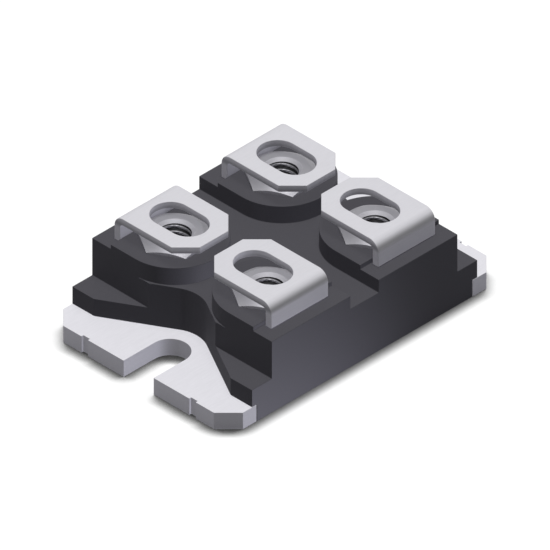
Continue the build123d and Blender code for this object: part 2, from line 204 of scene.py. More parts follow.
# %% [markdown]
# ## The terminals
#
# Each terminal is a strip of nickel-plated copper, 0.8 mm thick, cut flat and then folded twice. It is
# easiest to draw in the same order: first the flat blank, then the fold. A point of the blank has a distance
# along the strip, a distance across it and a height within its thickness. The fold turns these into a place.
#
# The flat head has an oblong hole, so its skin is a ring of quads between the hole and the outline. The leg
# below the first bend is a tube. Both meet on the line where the bend starts, with the same points.

# %% The terminal's sizes
STRIP_THICKNESS = 0.8
STRIP_HALF_WIDTH = 4.0
BEND_OUTSIDE = 1.25
BEND_MIDDLE = BEND_OUTSIDE - STRIP_THICKNESS / 2
TIP = 1.0
LEG_FACE = 11.0
HEAD_TOP = 11.5
FOOT_UNDERSIDE = 3.485
FOOT_TIP = 8.3
FOOT_HALF_WIDTH = 1.3
NECK_HEIGHT = 6.0
CORNER_CUT = 2.0
HOLE_RADIUS = 2.1
HOLE_NEAR_CENTRE = 4.6
HOLE_FAR_CENTRE = 7.1
EDGE_ROUND = 0.07
TERMINAL_PLACE_X = 7.5

HEAD_LENGTH = LEG_FACE - BEND_OUTSIDE - TIP
BEND_LENGTH = BEND_MIDDLE * math.pi / 2
LEG_LENGTH = HEAD_TOP - FOOT_UNDERSIDE - 2 * BEND_OUTSIDE
FOOT_LENGTH = LEG_FACE - BEND_OUTSIDE - FOOT_TIP
LEG_START = HEAD_LENGTH + BEND_LENGTH
NECK = LEG_START + HEAD_TOP - BEND_OUTSIDE - NECK_HEIGHT
SECOND_BEND = LEG_START + LEG_LENGTH
FOOT_START = SECOND_BEND + BEND_LENGTH
STRIP_END = FOOT_START + FOOT_LENGTH
print("length of the flat strip:", round(STRIP_END, 2), "mm")


# %% The fold
def folded(along, across, height):
    """Where a point of the blank goes.

    The middle line runs level from the tip, turns down a quarter circle, runs down the leg, turns a second
    quarter circle and runs back level. The height is laid off at a right angle to it, on the outer side.
    """
    first = np.clip((along - HEAD_LENGTH) / BEND_LENGTH, 0, 1) * math.pi / 2
    second = np.clip((along - SECOND_BEND) / BEND_LENGTH, 0, 1) * math.pi / 2
    turned = first + second
    level = np.minimum(along, HEAD_LENGTH)
    leg = np.clip(along - LEG_START, 0, LEG_LENGTH)
    foot = np.clip(along - FOOT_START, 0, FOOT_LENGTH)
    y = TIP + level + BEND_MIDDLE * (np.sin(first) - 1 + np.cos(second)) - foot
    z = HEAD_TOP - STRIP_THICKNESS / 2 - leg - BEND_MIDDLE * (1 - np.cos(first) + np.sin(second))
    return np.stack([across + 0 * y, y + height * np.sin(turned), z + height * np.cos(turned)], axis=-1)


print("the strip's end is folded to x, y, z:", folded(STRIP_END, 0.0, 0.0).round(3))

# %% The rounded edge
EDGE_STEPS = 6


def edge_profile():
    """Inset and height of a cut edge from its top side to its underside: a quarter circle, a wall, another.

    On the quarter circle the inset is the radius times one minus the sine of the angle, and the height falls
    by the radius times one minus the cosine.
    """
    angle = np.linspace(0, math.pi / 2, EDGE_STEPS + 1)
    inset = EDGE_ROUND * (1 - np.sin(angle))
    height = STRIP_THICKNESS / 2 - EDGE_ROUND * (1 - np.cos(angle))
    return np.concatenate([inset, inset[::-1]]), np.concatenate([height, -height[::-1]])


EDGE_INSET, EDGE_HEIGHT = edge_profile()
print("points over a cut edge:", len(EDGE_INSET))


# %% The outline
def stretch(start, end, count):
    """Evenly spaced points from a start towards an end, without the end."""
    share = np.arange(count)[:, None] / count
    return np.array(start) * (1 - share) + np.array(end) * share


def head_outline():
    """The head's cut outline as points (along, across), from the bend round the tip and back to the bend.

    Each corner is listed with the number of points on the straight run from it to the next one.
    """
    half = STRIP_HALF_WIDTH
    corners = [
        ((HEAD_LENGTH, half), 6),
        ((HOLE_FAR_CENTRE - TIP, half), 6),
        ((HOLE_NEAR_CENTRE - TIP, half), 4),
        ((CORNER_CUT, half), 6),
        ((0, half - CORNER_CUT), 10),
        ((0, CORNER_CUT - half), 6),
        ((CORNER_CUT, -half), 4),
        ((HOLE_NEAR_CENTRE - TIP, -half), 6),
        ((HOLE_FAR_CENTRE - TIP, -half), 6),
        ((HEAD_LENGTH, -half), 0),
    ]
    runs = [stretch(a[0], b[0], a[1]) for a, b in zip(corners, corners[1:])]
    return np.concatenate([*runs, [corners[-1][0]]])


def outward(points):
    """At each outline point, the vector that a unit inset is measured along: a corner's is its mitre.

    It is the sum of the unit normals of the lines before and after the point, over one plus their dot
    product, and points away from the middle of the head.
    """
    step = np.diff(points, axis=0)
    normal = np.stack([-step[:, 1], step[:, 0]], axis=-1) / np.linalg.norm(step, axis=1, keepdims=True)
    before = np.concatenate([normal[:1], normal])
    after = np.concatenate([normal, normal[-1:]])
    total = before + after
    mitre = total / (1 + np.sum(before * after, axis=1, keepdims=True))
    middle = np.array([[HEAD_LENGTH / 2, 0.0]])
    return mitre * np.sign(np.sum(mitre * (points - middle), axis=1, keepdims=True))


print("points on the head's outline:", len(head_outline()))

# %% The flat head
BEND_POINTS = 24
RING_ROWS = 4


def hole_point(points, radius):
    """The point of the oblong hole that faces an outline point: straight away from the hole's middle line.

    The middle line joins the centres of the hole's round ends. From its place nearest to the outline point,
    the hole's point lies one radius further towards it.
    """
    spine = points.copy()
    spine[:, 0] = np.clip(points[:, 0], HOLE_NEAR_CENTRE - TIP, HOLE_FAR_CENTRE - TIP)
    spine[:, 1] = 0
    away = points - spine
    return spine + away / np.linalg.norm(away, axis=1, keepdims=True) * radius


def across_line(half):
    """The places across the strip where a section's flat sides have points, inside the rounded edges."""
    return np.linspace(half - EDGE_ROUND, EDGE_ROUND - half, BEND_POINTS)


def blank(flat, height):
    """Adds the height to points (along, across) and folds them."""
    return folded(flat[..., 0], flat[..., 1], height + 0 * flat[..., 0])


def head_patches():
    """Top, underside, outer wall and hole wall of the flat head.

    Each row of the top and underside lies a share of the way from the hole's rim to the outline's. Each row
    of a wall is set in by the edge profile: the outline along its mitres, the hole by a larger radius.
    """
    outline = head_outline()
    mitre = outward(outline)
    bend_line = np.stack([np.full(BEND_POINTS, HEAD_LENGTH), across_line(STRIP_HALF_WIDTH)[::-1]], axis=-1)
    rim = np.concatenate([outline - mitre * EDGE_ROUND, bend_line[1:-1]])
    inner = hole_point(rim, HOLE_RADIUS + EDGE_ROUND)
    share = np.linspace(0, 1, RING_ROWS)[:, None, None]
    ring = inner * (1 - share) + rim * share
    wall = outline - mitre * EDGE_INSET[:, None, None]
    hole = np.stack([hole_point(rim, HOLE_RADIUS + inset) for inset in EDGE_INSET])
    half = STRIP_THICKNESS / 2
    return [
        (blank(ring, half), True),
        (blank(ring, -half), True),
        (blank(wall, EDGE_HEIGHT[:, None]), False),
        (blank(hole, EDGE_HEIGHT[:, None]), True),
    ]


print("patches of the head:", [patch.shape[:2] for patch, _ in head_patches()])

# %% The folded tail
FIRST_BEND_ROWS = 17
SECOND_BEND_ROWS = 9


def section(half):
    """A closed loop round the strip: top side, one edge, underside, other edge, as across and height."""
    line = across_line(half)
    side = half - EDGE_INSET
    across = np.concatenate([line, -side[1:-1], line[::-1], side[::-1][1:-1]])
    flat = np.full(BEND_POINTS, STRIP_THICKNESS / 2)
    height = np.concatenate([flat, EDGE_HEIGHT[1:-1], -flat, EDGE_HEIGHT[::-1][1:-1]])
    return across, height


def tail_patches():
    """The folded tube below the head: first bend, leg, narrow neck, second bend, foot and its end.

    Each row is the strip's section at one distance along it. At the neck two rows coincide along the strip,
    one wide and one narrow, and the last row shrinks to its middle to close the end.
    """
    wide = np.concatenate([np.linspace(HEAD_LENGTH, LEG_START, FIRST_BEND_ROWS), [NECK]])
    narrow = np.concatenate([[NECK], np.linspace(SECOND_BEND, FOOT_START, SECOND_BEND_ROWS), [STRIP_END]])
    along = np.concatenate([wide, narrow])[:, None]
    wide_across, height = section(STRIP_HALF_WIDTH)
    narrow_across, _ = section(FOOT_HALF_WIDTH)
    across = np.stack([wide_across] * len(wide) + [narrow_across] * len(narrow))
    tube = folded(along + 0 * across, across, height + 0 * across)
    end = tube[-1]
    closing = np.stack([end, end.mean(axis=0) + 0 * end])
    return [(tube, True), (closing, True)]


print("patches of the tail:", [patch.shape[:2] for patch, _ in tail_patches()])

# %% Four terminals
QUADRANTS = {
    "emitter": (-1, -1),
    "gate": (-1, 1),
    "collector": (1, -1),
    "auxiliary_emitter": (1, 1),
}


def terminal_mesh(name, side_x, side_y):
    """The skin of the terminal in one quadrant, given by the signs of X and Y.

    The strip is drawn over the +Y axis, mirrored to its own side of Y and moved along X.
    """
    turn = np.array([1, side_y, 1])
    shift = np.array([side_x * TERMINAL_PLACE_X, 0, 0])
    patches = [(points * turn + shift, wraps) for points, wraps in head_patches() + tail_patches()]
    return sewn_mesh(name, patches)


terminals = []
for name, (side_x, side_y) in QUADRANTS.items():
    mesh = terminal_mesh(name + "_terminal", side_x, side_y)
    terminals.append(stand_in(name + "_terminal", mesh, "nickel_plate"))
    print(name, "terminal:", len(mesh.polygons), "faces,", open_edges(mesh), "open edges")

# %% [markdown]
# ## The nuts
#
# A nut is a ring: any cut from its axis outwards shows the same kind of loop, and only the outer wall's
# distance changes round the hexagon. So one grid makes the whole nut, with the loop as rows and the angle as
# columns. In the bore the radius follows a saw shape that climbs one pitch in each turn, which is a screw
# thread. A Screw modifier could wind one too, but its ends would then have to be cut off and closed.

# %% The nut's sizes
NUT_BOTTOM = 6.75
NUT_TOP = 9.80
NUT_HALF_FLATS = 3.5
NUT_PLACE_Y = 6.5
FACE_RADIUS = 2.83
UNDERSIDE_RADIUS = 3.3
CHAMFER_SLOPE = math.tan(math.radians(30.0))
NUT_COLUMNS = 120
print("nut height:", round(NUT_TOP - NUT_BOTTOM, 2), "mm")

# %% The bore's sizes
THREAD_PITCH = 0.7
THREAD_CREST = 1.65
THREAD_ROOT = 2.0
THREAD_BOTTOM = 6.95
THREAD_TOP = 9.44
THREAD_ROWS = 76
RUN_OUT = 0.10
LEAD_IN_TOP = THREAD_BOTTOM - 0.02
COUNTERSINK_BOTTOM = THREAD_TOP + 0.03
COUNTERSINK_INNER = 1.7
COUNTERSINK_OUTER = 2.03

# Where the root's flat starts and ends and the crest's flat starts, as shares of one pitch.
ROOT_FROM = 0.31
ROOT_TO = 0.44
CREST_FROM = 0.75
print("turns of thread:", round((THREAD_TOP - THREAD_BOTTOM) / THREAD_PITCH, 1))


# %% One nut's skin
def thread_radius(angle, z):
    """A screw thread: the radius depends only on how far z is above the helix that passes this angle.

    Near the top it blends into the inner radius of the countersink, as the thread runs out there.
    """
    place = np.mod(z / THREAD_PITCH - angle / (2 * math.pi), 1)
    radius = np.interp(
        place,
        [0, ROOT_FROM, ROOT_TO, CREST_FROM, 1],
        [THREAD_CREST, THREAD_ROOT, THREAD_ROOT, THREAD_CREST, THREAD_CREST],
    )
    share = np.clip((THREAD_TOP - z) / RUN_OUT, 0, 1)
    return COUNTERSINK_INNER + (radius - COUNTERSINK_INNER) * share


def nut_loop(angle):
    """Radius and height of the loop at each angle, as arrays (rows, columns).

    The hexagon's radius is half its width across flats over the cosine of the angle from the middle of the
    nearest flat. The chamfers are cones, so the wall ends lower where the radius is larger.
    """
    from_flat = np.mod(angle, math.pi / 3) - math.pi / 6
    wall = NUT_HALF_FLATS / np.cos(from_flat)
    even = np.ones_like(angle)
    upper = NUT_TOP - (wall - FACE_RADIUS) * CHAMFER_SLOPE
    lower = NUT_BOTTOM + (wall - UNDERSIDE_RADIUS) * CHAMFER_SLOPE
    thread_z = np.linspace(THREAD_BOTTOM, THREAD_TOP, THREAD_ROWS)[:, None] * even
    rows = [
        (COUNTERSINK_OUTER * even, NUT_TOP * even),
        (FACE_RADIUS * even, NUT_TOP * even),
        ((FACE_RADIUS + wall) / 2, (NUT_TOP + upper) / 2),
        (wall, upper),
        (wall, lower),
        (UNDERSIDE_RADIUS * even, NUT_BOTTOM * even),
        (THREAD_ROOT * even, NUT_BOTTOM * even),
        (THREAD_CREST * even, LEAD_IN_TOP * even),
        *zip(thread_radius(angle, thread_z), thread_z),
        (COUNTERSINK_INNER * even, COUNTERSINK_BOTTOM * even),
        (COUNTERSINK_OUTER * even, NUT_TOP * even),
    ]
    return np.stack([r for r, _ in rows]), np.stack([z for _, z in rows])


def nut_mesh(name, side_x, side_y):
    """The skin of the nut in one quadrant: each point lies at a radius and an angle round the nut's axis."""
    angle = np.arange(NUT_COLUMNS) * 2 * math.pi / NUT_COLUMNS
    radius, z = nut_loop(angle)
    x = radius * np.cos(angle) + side_x * TERMINAL_PLACE_X
    y = radius * np.sin(angle) + side_y * NUT_PLACE_Y
    return sewn_mesh(name, [(np.stack([x, y, z], axis=-1), True)])


nuts = []
for name, (side_x, side_y) in QUADRANTS.items():
    mesh = nut_mesh(name + "_nut", side_x, side_y)
    nuts.append(stand_in(name + "_nut", mesh, "nut_steel"))
    print(name, "nut:", len(mesh.polygons), "faces,", open_edges(mesh), "open edges")

# %% [markdown]
# ## The plate and the housing
#
# These two have flat faces cut by each other, which the solid model already gives exactly. What it lacks is
# the small radius that every moulded or stamped edge has. So the node's triangles are copied, merged and
# joined into whole flat faces, and a Bevel modifier rounds the edges.

# %% Whole faces
FLAT_ANGLE = math.radians(0.5)


def whole_faces(node):
    """A copy of a node's mesh with its points merged and its flat triangles joined into whole faces.

    The stored corner normals belong to the triangles, so they are dropped before those are joined.
    """
    mesh = nodes[node].data.copy()
    mesh.name = node + "_whole"
    mesh.materials.clear()
    mesh.attributes.remove(mesh.attributes["custom_normal"])
    work = bmesh.new()
    work.from_mesh(mesh)
    bmesh.ops.remove_doubles(work, verts=work.verts, dist=MERGE_DISTANCE * MM)
    bmesh.ops.dissolve_limit(
        work,
        angle_limit=FLAT_ANGLE,
        verts=work.verts,
        edges=work.edges,
        delimit={"NORMAL"},
    )
    work.to_mesh(mesh)
    work.free()
    mesh.shade_smooth()
    mesh.set_sharp_from_angle(angle=SHARP_ANGLE)
    return mesh


plate = stand_in("base_plate", whole_faces("base_plate"), "nickel_plate")
housing = stand_in("housing", whole_faces("housing"), "black_moulding")
for piece in (plate, housing):
    print(piece.name, len(piece.data.polygons), "faces,", open_edges(piece.data), "open edges")

# %% Soft edges
BEVEL_ANGLE = math.radians(30.0)
BEVEL_SEGMENTS = 2
PLATE_EDGE = 0.04
HOUSING_EDGE = 0.05


def soften(piece, width):
    """Rounds the edges of a piece with a Bevel modifier, whose width is in millimetres."""
    bevel = piece.modifiers.new("soft_edges", "BEVEL")
    bevel.width = width * MM
    bevel.segments = BEVEL_SEGMENTS
    bevel.limit_method = "ANGLE"
    bevel.angle_limit = BEVEL_ANGLE
    bevel.use_clamp_overlap = False
    bevel.miter_outer = "MITER_ARC"
    bevel.harden_normals = True


soften(plate, PLATE_EDGE)
soften(housing, HOUSING_EDGE)
print("edges are softened by", PLATE_EDGE, "and", HOUSING_EDGE, "mm")

# %% [markdown]
# ## Shared effects
#
# Every real finish is a little uneven, so one node group makes fine grain for all of them: noise that may be
# stretched along one axis, which gives rolled sheet its direction. A group is built once and placed in each
# material with its own values. Two more groups follow further down, where they are needed: the painted shade
# on a terminal's bend, and the painted shade and painted highlight of a nut's bore.


# %% Node helpers
def new_group(name, inputs, outputs):
    """An empty shader node group with named float sockets, and its input and output nodes."""
    group = bpy.data.node_groups.new(name, "ShaderNodeTree")
    for label, value in inputs.items():
        socket = group.interface.new_socket(label, in_out="INPUT", socket_type="NodeSocketFloat")
        socket.default_value = value
    for label in outputs:
        group.interface.new_socket(label, in_out="OUTPUT", socket_type="NodeSocketFloat")
    return group, group.nodes.new("NodeGroupInput"), group.nodes.new("NodeGroupOutput")


def placed(material, group, values):
    """The node group as a node in a material, with its inputs set by name."""
    node = material.node_tree.nodes.new("ShaderNodeGroup")
    node.node_tree = group
    for label, value in values.items():
        node.inputs[label].default_value = value
    return node


def plug(tree, value, socket):
    """Sets a number on a socket, or links another node's output to it."""
    if isinstance(value, (int, float)):
        socket.default_value = value
    else:
        tree.links.new(value, socket)


def maths(tree, operation, *values):
    """The output of a Math node; each value is a number or an output socket."""
    node = tree.nodes.new("ShaderNodeMath")
    node.operation = operation
    for socket, value in zip(node.inputs, values):
        plug(tree, value, socket)
    return node.outputs[0]


def ramp(tree, value, start, end, low, high, shape="SMOOTHSTEP"):
    """The output of a Map Range node: low at the start, high at the end, and level outside them."""
    node = tree.nodes.new("ShaderNodeMapRange")
    node.interpolation_type = shape
    plug(tree, value, node.inputs["Value"])
    plug(tree, start, node.inputs["From Min"])
    plug(tree, end, node.inputs["From Max"])
    plug(tree, low, node.inputs["To Min"])
    plug(tree, high, node.inputs["To Max"])
    return node.outputs["Result"]


def object_place(tree):
    """The outputs X, Y and Z of a place on a piece, measured from the origin that all pieces share."""
    split = tree.nodes.new("ShaderNodeSeparateXYZ")
    tree.links.new(tree.nodes.new("ShaderNodeTexCoord").outputs["Object"], split.inputs[0])
    return split.outputs


# %% Grain
GRAIN_DETAIL = 3.0


def grain_group():
    """Noise with grains of a size in millimetres, longer along X by a factor, whose value is centred on 0.

    The noise reads the place divided by the size, and along X also by the factor. Half is taken off it.
    """
    group, given, out = new_group("grain", {"Size": 0.2, "Stretch": 1.0}, ["Value"])
    place = group.nodes.new("ShaderNodeTexCoord").outputs["Object"]
    across = maths(group, "DIVIDE", 1 / MM, given.outputs["Size"])
    lengthwise = maths(group, "DIVIDE", across, given.outputs["Stretch"])
    sizes = group.nodes.new("ShaderNodeCombineXYZ")
    for axis, value in zip("XYZ", (lengthwise, across, across)):
        group.links.new(value, sizes.inputs[axis])
    scaled = group.nodes.new("ShaderNodeMapping")
    group.links.new(place, scaled.inputs["Vector"])
    group.links.new(sizes.outputs[0], scaled.inputs["Scale"])
    noise = group.nodes.new("ShaderNodeTexNoise")
    noise.inputs["Scale"].default_value = 1.0
    noise.inputs["Detail"].default_value = GRAIN_DETAIL
    group.links.new(scaled.outputs[0], noise.inputs["Vector"])
    group.links.new(maths(group, "SUBTRACT", noise.outputs["Fac"], 0.5), out.inputs["Value"])
    return group


GRAIN = grain_group()
print("shared effect:", GRAIN.name)

# %% [markdown]
# ## Finishes
#
# A finish is a Principled shader with a colour, a roughness and a metallic share. The grain then moves three
# things together: the tone, the roughness and, through a Bump node, the height. Pictures of real surfaces
# could be mapped on instead, but a pattern worked out from the place has no seams and needs no unwrapping.

# %% Grained finishes
ROUGHNESS_CHANGE = 0.25


def finish(name, colour, roughness, metallic, specular):
    """A new material with its Principled shader set, returned with that shader."""
    material = bpy.data.materials.new(name)
    material.use_nodes = True
    shader = material.node_tree.nodes["Principled BSDF"]
    shader.inputs["Base Color"].default_value = (*colour, 1)
    shader.inputs["Roughness"].default_value = roughness
    shader.inputs["Metallic"].default_value = metallic
    shader.inputs["Specular IOR Level"].default_value = specular
    return material, shader


def scaled_colour(material, shader, colour, factor):
    """Feeds the shader's Base Color with a colour, set or linked, times a varying factor."""
    tree = material.node_tree
    node = tree.nodes.new("ShaderNodeVectorMath")
    node.operation = "SCALE"
    if isinstance(colour, tuple):
        node.inputs[0].default_value = colour
    else:
        tree.links.new(colour, node.inputs[0])
    tree.links.new(factor, node.inputs["Scale"])
    tree.links.new(node.outputs[0], shader.inputs["Base Color"])


def varied(material, middle, value, amount):
    """A middle value plus a share of a varying one."""
    tree = material.node_tree
    return maths(tree, "ADD", middle, maths(tree, "MULTIPLY", value, amount))


def bump(material, shader, height, depth):
    """Raises the surface by a varying height, whose full range has a depth in millimetres."""
    tree = material.node_tree
    node = tree.nodes.new("ShaderNodeBump")
    node.inputs["Distance"].default_value = depth * MM
    tree.links.new(height, node.inputs["Height"])
    tree.links.new(node.outputs[0], shader.inputs["Normal"])


def grained(name, colour, roughness, size, depth, uneven, stretch=1.0, metallic=0.0, specular=0.5):
    """A finish with one grain that moves its tone, its roughness and its height."""
    material, shader = finish(name, colour, roughness, metallic, specular)
    grain = placed(material, GRAIN, {"Size": size, "Stretch": stretch}).outputs["Value"]
    scaled_colour(material, shader, colour, varied(material, 1.0, grain, uneven))
    uneven_roughness = varied(material, roughness, grain, ROUGHNESS_CHANGE)
    material.node_tree.links.new(uneven_roughness, shader.inputs["Roughness"])
    bump(material, shader, grain, depth)
    return material, shader


# %% Less light
def darken(material, shader, amount):
    """Multiplies the colour that already feeds the shader by a varying amount."""
    scaled_colour(material, shader, shader.inputs["Base Color"].links[0].from_socket, amount)


def quiet(material, shader, share):
    """Lets only a share of the light that a surface scatters reach its neighbours: its own look stays.

    The colour is multiplied by the share for rays of scattered light, and by 1 for all others.
    """
    tree = material.node_tree
    scattered = tree.nodes.new("ShaderNodeLightPath").outputs["Is Diffuse Ray"]
    darken(material, shader, varied(material, 1.0, scattered, share - 1))


# %% [markdown]
# ### Nickel plating
#
# The plate and the terminals are copper under a satin coat of nickel. It looks pale and even from every side
# and mirrors nothing, so most of it is a rough scattering surface with a small metallic share, and its grain
# is long and thin, as rolling leaves it. A fully metallic shader would be true to the metal, but under plain
# light it would show the white world as one flat tone and lose the shading of the folds.
#
# The picture shows no light thrown from the plate onto the black walls, so the plating passes little on. Each
# terminal's colour has painted shade: a darker band along its bend, at one height, where the bend turns from
# the light.

# %% Nickel
PLATING = {
    "roughness": 0.62,
    "size": 0.12,
    "stretch": 12.0,
    "depth": 0.002,
    "uneven": 0.12,
    "metallic": 0.06,
    "specular": 0.12,
}
PLATE_COLOUR = (0.70, 0.693, 0.735)
# The terminals have the plate's plating, painted a little darker as shade, since they stand more in the open
# light.
TERMINAL_SHADED_COLOUR = (0.61, 0.604, 0.639)
PLATE_PASSES_ON = 0.15
TERMINAL_PASSES_ON = 0.4
# Painted shade: a darker band on each terminal's bend, centred at one height.
BEND_SHADE_DROP = 0.78
BEND_SHADE_HEIGHT = HEAD_TOP - BEND_SHADE_DROP
BEND_SHADE_HALF_WIDTH = 0.58
BEND_SHADE_DEPTH = 0.46


def painted_bend_shade_group():
    """Painted shade on the bend, a darker band where it turns from the light: 1 away from it, less by a depth
    on it.

    The depth fades over the line's half width, with the distance from its height.
    """
    group, given, out = new_group("painted_bend_shade", {"Depth": 0.4}, ["Value"])
    away = maths(group, "ABSOLUTE", maths(group, "SUBTRACT", object_place(group)["Z"], BEND_SHADE_HEIGHT * MM))
    line = ramp(group, away, 0.0, BEND_SHADE_HALF_WIDTH * MM, 1.0, 0.0)
    loss = maths(group, "MULTIPLY", line, given.outputs["Depth"])
    group.links.new(maths(group, "SUBTRACT", 1.0, loss), out.inputs["Value"])
    return group


nickel, nickel_shader = grained("nickel_plating", PLATE_COLOUR, **PLATING)
terminal_nickel, terminal_shader = grained("terminal_nickel", TERMINAL_SHADED_COLOUR, **PLATING)
# The terminal's colour is darkened along its bend, as painted shade.
painted_bend_shade = placed(terminal_nickel, painted_bend_shade_group(), {"Depth": BEND_SHADE_DEPTH})
darken(terminal_nickel, terminal_shader, painted_bend_shade.outputs["Value"])
quiet(nickel, nickel_shader, PLATE_PASSES_ON)
quiet(terminal_nickel, terminal_shader, TERMINAL_PASSES_ON)
print("finishes:", nickel.name, "and", terminal_nickel.name)

# %% [markdown]
# ### Steel nuts
#
# The nuts are darker steel. Their thread is painted almost black between its crests, as painted shade, and
# the countersunk mouth above it is painted bright, as a painted highlight. The lamps alone don't show this,
# because most of the overhead light casts no shadow, so a node group works the tones out from the place round
# the nearest nut's axis. The countersink's factor is above 1, which makes it brighter than the rest.
#
# A surface that isn't metallic keeps a pale gloss from the white world, however dark its colour is. So the
# thread is fully metallic: a metal's gloss takes the metal's own dark colour.

# %% The bore's tones
DARK_DEPTH = 0.12
MASK_MARGIN = 0.01


def painted_bore_light_group():
    """The painted shade and painted highlight of a nut's bore, as a tone, and a mask of its thread.

    The four nuts lie mirrored, so X and Y lose their signs first. The radius is the root of the squares of
    the distances from the nut's axis along X and along Y, added up. The thread lies inside the countersink's
    outer radius and below its bottom. Its tone falls from one value at the crests to another a short way
    behind them. The countersink has a third value, and everything outside the bore has 1.
    """
    inputs = {"Crest": 0.5, "Root": 0.1, "Mouth": 1.0}
    group, given, out = new_group("bore_painted_light", inputs, ["Tone", "Thread"])
    place = object_place(group)
    squares = []
    for axis, centre in (("X", TERMINAL_PLACE_X), ("Y", NUT_PLACE_Y)):
        beside = maths(group, "SUBTRACT", maths(group, "ABSOLUTE", place[axis]), centre * MM)
        squares.append(maths(group, "MULTIPLY", beside, beside))
    radius = maths(group, "SQRT", maths(group, "ADD", *squares))
    depth = ramp(
        group,
        radius,
        THREAD_CREST * MM,
        (THREAD_CREST + DARK_DEPTH) * MM,
        given.outputs["Crest"],
        given.outputs["Root"],
        shape="LINEAR",
    )
    inside = maths(group, "LESS_THAN", radius, (COUNTERSINK_OUTER + MASK_MARGIN) * MM)
    below = maths(group, "LESS_THAN", place["Z"], COUNTERSINK_BOTTOM * MM)
    thread = maths(group, "MULTIPLY", inside, below)
    mouth = maths(group, "SUBTRACT", inside, thread)
    on_thread = maths(group, "MULTIPLY", thread, depth)
    on_mouth = maths(group, "MULTIPLY", mouth, given.outputs["Mouth"])
    elsewhere = maths(group, "SUBTRACT", 1.0, inside)
    tone = maths(group, "ADD", elsewhere, maths(group, "ADD", on_thread, on_mouth))
    group.links.new(tone, out.inputs["Tone"])
    group.links.new(thread, out.inputs["Thread"])
    return group


# %% Steel
STEEL_METALLIC = 0.36
# Painted shade on the thread, from its crests to its roots, and a painted highlight on the countersunk mouth.
BORE_PAINTED_TONES = {"Crest": 0.7, "Root": 0.03, "Mouth": 1.5}

steel, steel_shader = grained(
    "nut_steel",
    (0.31, 0.306, 0.328),
    roughness=0.50,
    size=0.15,
    depth=0.002,
    uneven=0.10,
    metallic=STEEL_METALLIC,
    specular=0.4,
)
bore = placed(steel, painted_bore_light_group(), BORE_PAINTED_TONES)
darken(steel, steel_shader, bore.outputs["Tone"])
metal_share = varied(steel, STEEL_METALLIC, bore.outputs["Thread"], 1 - STEEL_METALLIC)
steel.node_tree.links.new(metal_share, steel_shader.inputs["Metallic"])
print("finish:", steel.name, "with bore tones", BORE_PAINTED_TONES)

# %% [markdown]
# ### Black moulding
#
# The housing is black plastic with glass fibre, moulded in a tool with a fine matt texture. The fibres and
# the texture take away almost all of the gloss, so the specular level is low and the small grain is deeper
# than on the metal.

# %% Moulding
moulding, _ = grained(
    "black_moulding",
    (0.072, 0.0702, 0.080),
    roughness=0.60,
    size=0.09,
    depth=0.004,
    uneven=0.20,
    specular=0.04,
)
print("finish:", moulding.name)

# %% [markdown]
# ### The pieces inside
#
# The closed module hides its substrate, chips, wires, solder and gel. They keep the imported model's meshes
# and get plain finishes, so that the module also looks right with its housing lifted off.

# %% Inner finishes
GEL_CLEARNESS = 0.85
GEL_IOR = 1.41

copper, _ = grained(
    "bare_copper",
    (0.72, 0.43, 0.30),
    roughness=0.4,
    size=0.10,
    depth=0.002,
    uneven=0.15,
    stretch=8.0,
    metallic=0.9,
)
alumina, _ = grained(
    "fired_alumina",
    (0.90, 0.89, 0.85),
    roughness=0.6,
    size=0.05,
    depth=0.002,
    uneven=0.05,
)
silicon, _ = grained(
    "chip_metal",
    (0.20, 0.20, 0.23),
    roughness=0.25,
    size=0.30,
    depth=0.0005,
    uneven=0.10,
    metallic=0.5,
)
solder, _ = grained(
    "dull_solder",
    (0.60, 0.60, 0.61),
    roughness=0.45,
    size=0.25,
    depth=0.010,
    uneven=0.15,
    metallic=0.8,
)
wire_metal, _ = grained(
    "drawn_aluminium",
    (0.78, 0.78, 0.79),
    roughness=0.3,
    size=0.04,
    depth=0.001,
    uneven=0.10,
    metallic=0.9,
)
adhesive, _ = grained(
    "cured_adhesive",
    (0.08, 0.08, 0.08),
    roughness=0.5,
    size=0.4,
    depth=0.01,
    uneven=0.15,
)
gel, gel_shader = grained(
    "clear_silicone",
    (0.82, 0.82, 0.78),
    roughness=0.15,
    size=1.5,
    depth=0.01,
    uneven=0.03,
)
gel_shader.inputs["Transmission Weight"].default_value = GEL_CLEARNESS
gel_shader.inputs["IOR"].default_value = GEL_IOR
print("share of light that passes through the gel:", GEL_CLEARNESS)

# %% [markdown]
# ## Dressing the pieces
#
# The imported model states a material slot for every node, so one table of finishes dresses them all in a
# loop. The new pieces have the slot of the node that they stand in for. Only the terminals differ: their
# nickel is the plate's plating painted a little darker, as painted shade, and has the painted shade on the
# bend.

# %% Every piece gets its finish
FINISHES = {
    "nickel_plate": nickel,
    "nut_steel": steel,
    "black_moulding": moulding,
    "copper": copper,
    "alumina": alumina,
    "silicon": silicon,
    "solder": solder,
    "bond_aluminium": wire_metal,
    "black_adhesive": adhesive,
    "clear_gel": gel,
}

slot_of = {row["node"]: row["material_slot"] for row in frame["record"]["subparts"]}
for node, obj in nodes.items():
    obj.data.materials.clear()
    obj.data.materials.append(FINISHES[slot_of[node]])
for piece in nuts + [plate, housing]:
    piece.data.materials.append(FINISHES[piece["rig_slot"]])
for piece in terminals:
    piece.data.materials.append(terminal_nickel)
print("slots with a finish:", len(FINISHES))

# %% [markdown]
# ## The floor
#
# The picture has a plain white ground with a short, soft shadow along the module's near sides. The lamps
# cast almost no shadow, so the floor works out its own. An Ambient Occlusion node measures how open the
# space over a point is, within a short distance. It looks in a fixed direction that leans towards +X and +Y,
# so points in front of the two near sides face the module, and most of the darkening lies there.
#
# The floor is white to the camera and in reflections. To scattered light it is dark, so that it doesn't lift
# the module's sides. From below it is clear, so that the underside can be seen.

